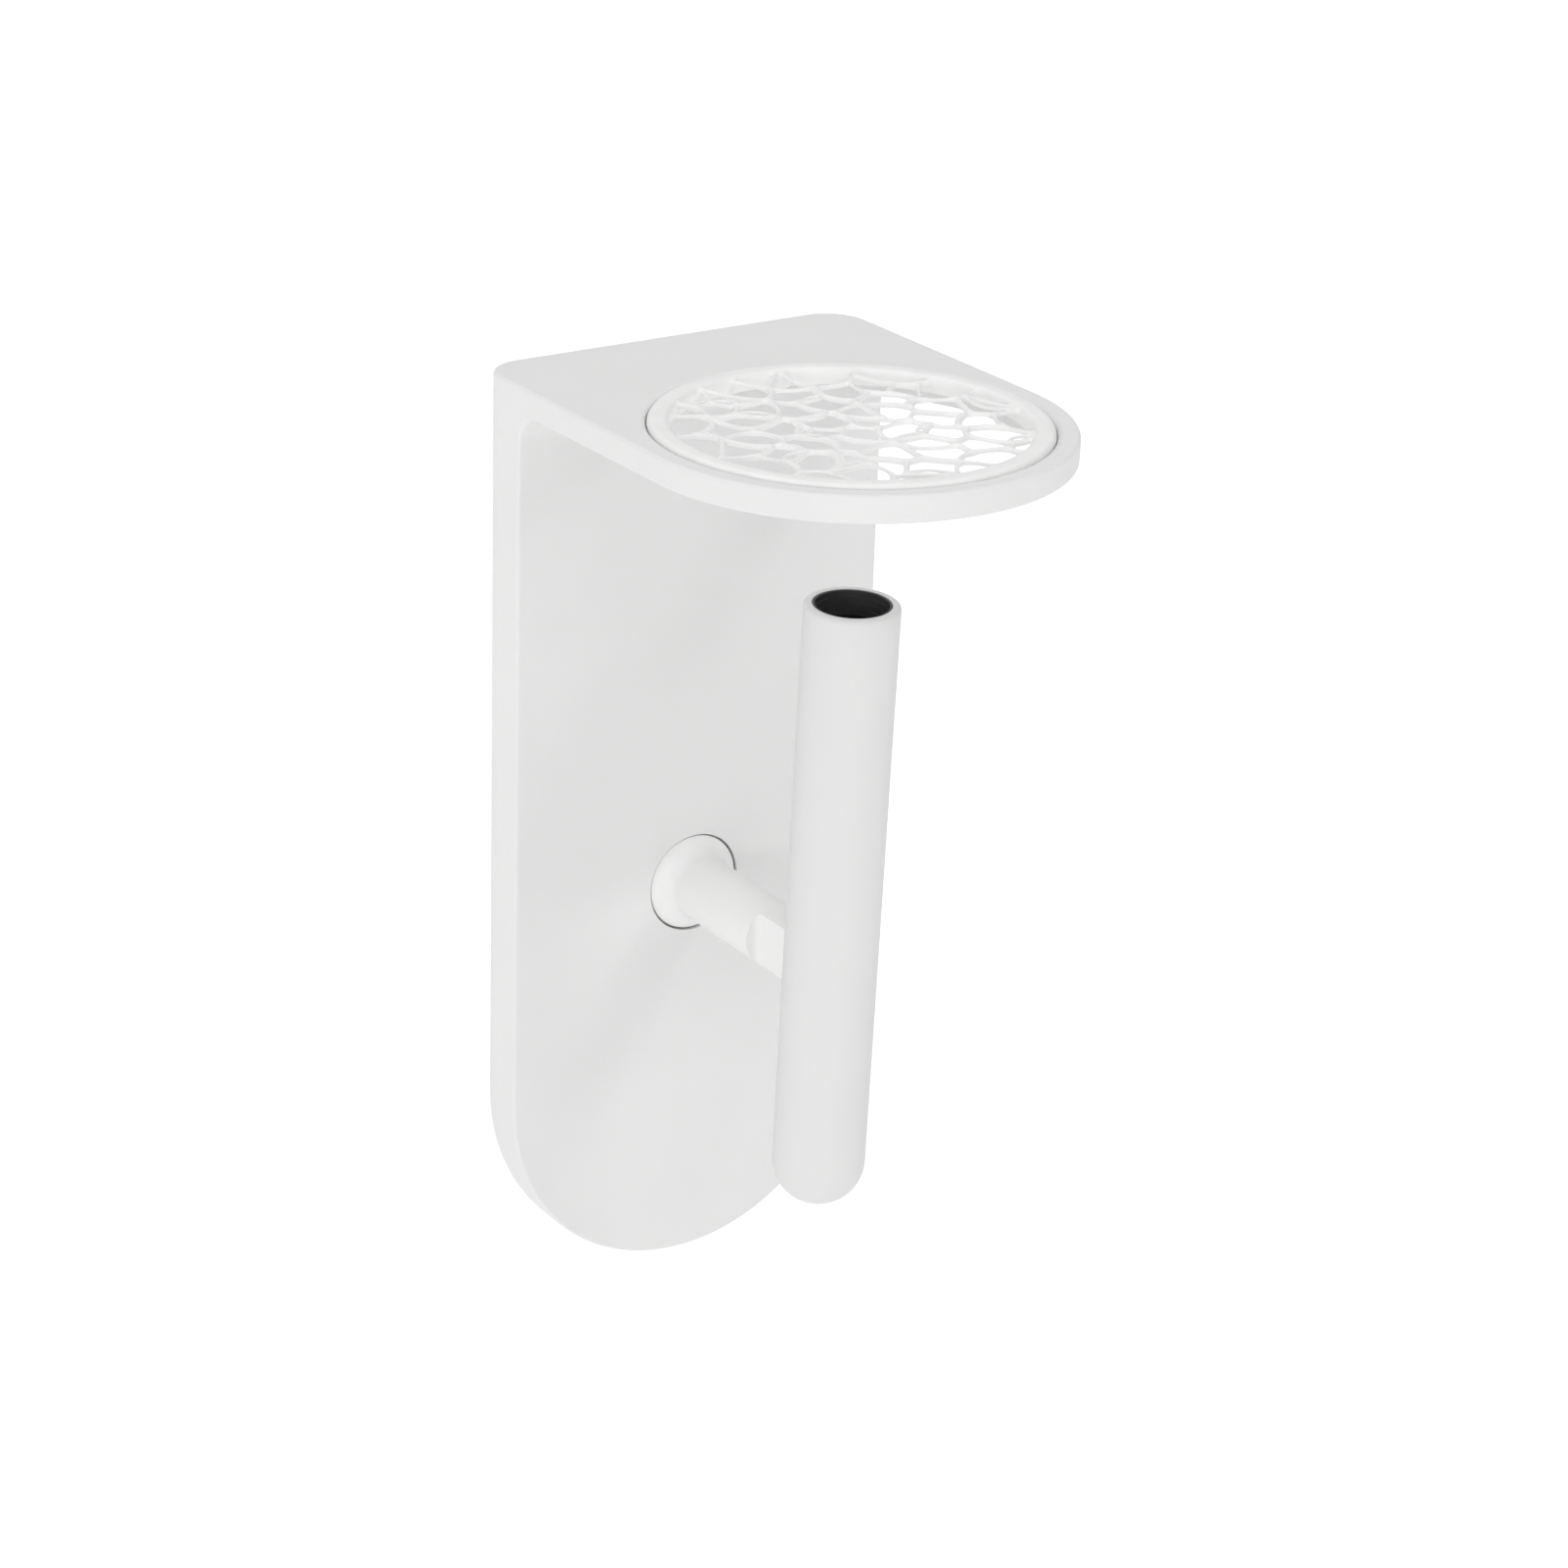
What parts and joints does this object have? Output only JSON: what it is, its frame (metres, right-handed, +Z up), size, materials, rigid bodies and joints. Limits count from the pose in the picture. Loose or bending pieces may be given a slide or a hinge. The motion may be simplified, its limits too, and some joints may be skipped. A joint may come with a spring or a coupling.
{
  "type": "adjustable wall light",
  "caption": "White wall light: a round-nosed bracket holds an openwork disc above an upright tilting spot tube on a swivelling arm.",
  "frame": {"origin": "on the wall face, where the arm's swivel axis meets it, on the mid-plane", "axes": "+Y into the wall, +Z up, +X to the right seen from the room; the light stands out towards -Y"},
  "size_m": [0.13, 0.164, 0.3008],
  "materials": {
    "body_white": "matte",
    "arm_white": "matte",
    "tube_white": "matte",
    "disc_white": "matte",
    "steel": "satin",
    "bare_aluminium": "satin",
    "black_rubber": "matte",
    "black_plastic": "matte",
    "white_nylon": "matte",
    "bearing_polymer": "matte",
    "driver_white": "satin",
    "board_white": "satin",
    "phosphor": "gloss",
    "clear_lens": "polished",
    "brown_wire": "satin",
    "blue_wire": "satin",
    "white_lead": "satin"
  },
  "bodies": {
    "body": {"body_shell": "body_white", "wall_plate": "steel", "lock_screw": "steel", "cable_grommet": "black_rubber", "strain_clamp": "white_nylon", "clamp_screws": "steel", "terminal_block": "white_nylon", "live_wire": "brown_wire", "neutral_wire": "blue_wire", "led_driver": "driver_white", "driver_screws": "steel", "driver_lead": "white_lead", "arm_bush": "bearing_polymer", "thrust_washer": "bearing_polymer", "stop_pin": "steel"},
    "arm": {"arm": "arm_white", "stop_washer": "steel", "wave_washer": "steel", "arm_nut": "steel", "arm_lead": "white_lead"},
    "spot": {"spot_tube": "tube_white", "tilt_block": "bare_aluminium", "pivot_screw": "steel", "friction_washers": "bearing_polymer", "spot_lead": "white_lead", "heat_sink": "bare_aluminium", "led_board": "board_white", "board_screws": "steel", "led_emitter": "phosphor", "lens_holder": "black_plastic", "lens": "clear_lens", "lens_seal": "black_rubber", "glare_baffle": "black_plastic"},
    "disc": {"lattice_disc": "disc_white"}
  },
  "joints": [
    {"name": "arm_swivel", "type": "hinge", "parent": "body", "child": "arm", "pos_m": [0, 0, 0], "axis": [0, 1, 0], "range_deg": [-165, 165]},
    {"name": "spot_tilt", "type": "hinge", "parent": "arm", "child": "spot", "pos_m": [0, -0.099, 0], "axis": [1, 0, 0], "range_deg": [-15, 15]},
    {"name": "disc_lift", "type": "slide", "parent": "body", "child": "disc", "axis": [0, 0, 1], "range_m": [0, 0.02]}
  ]
}
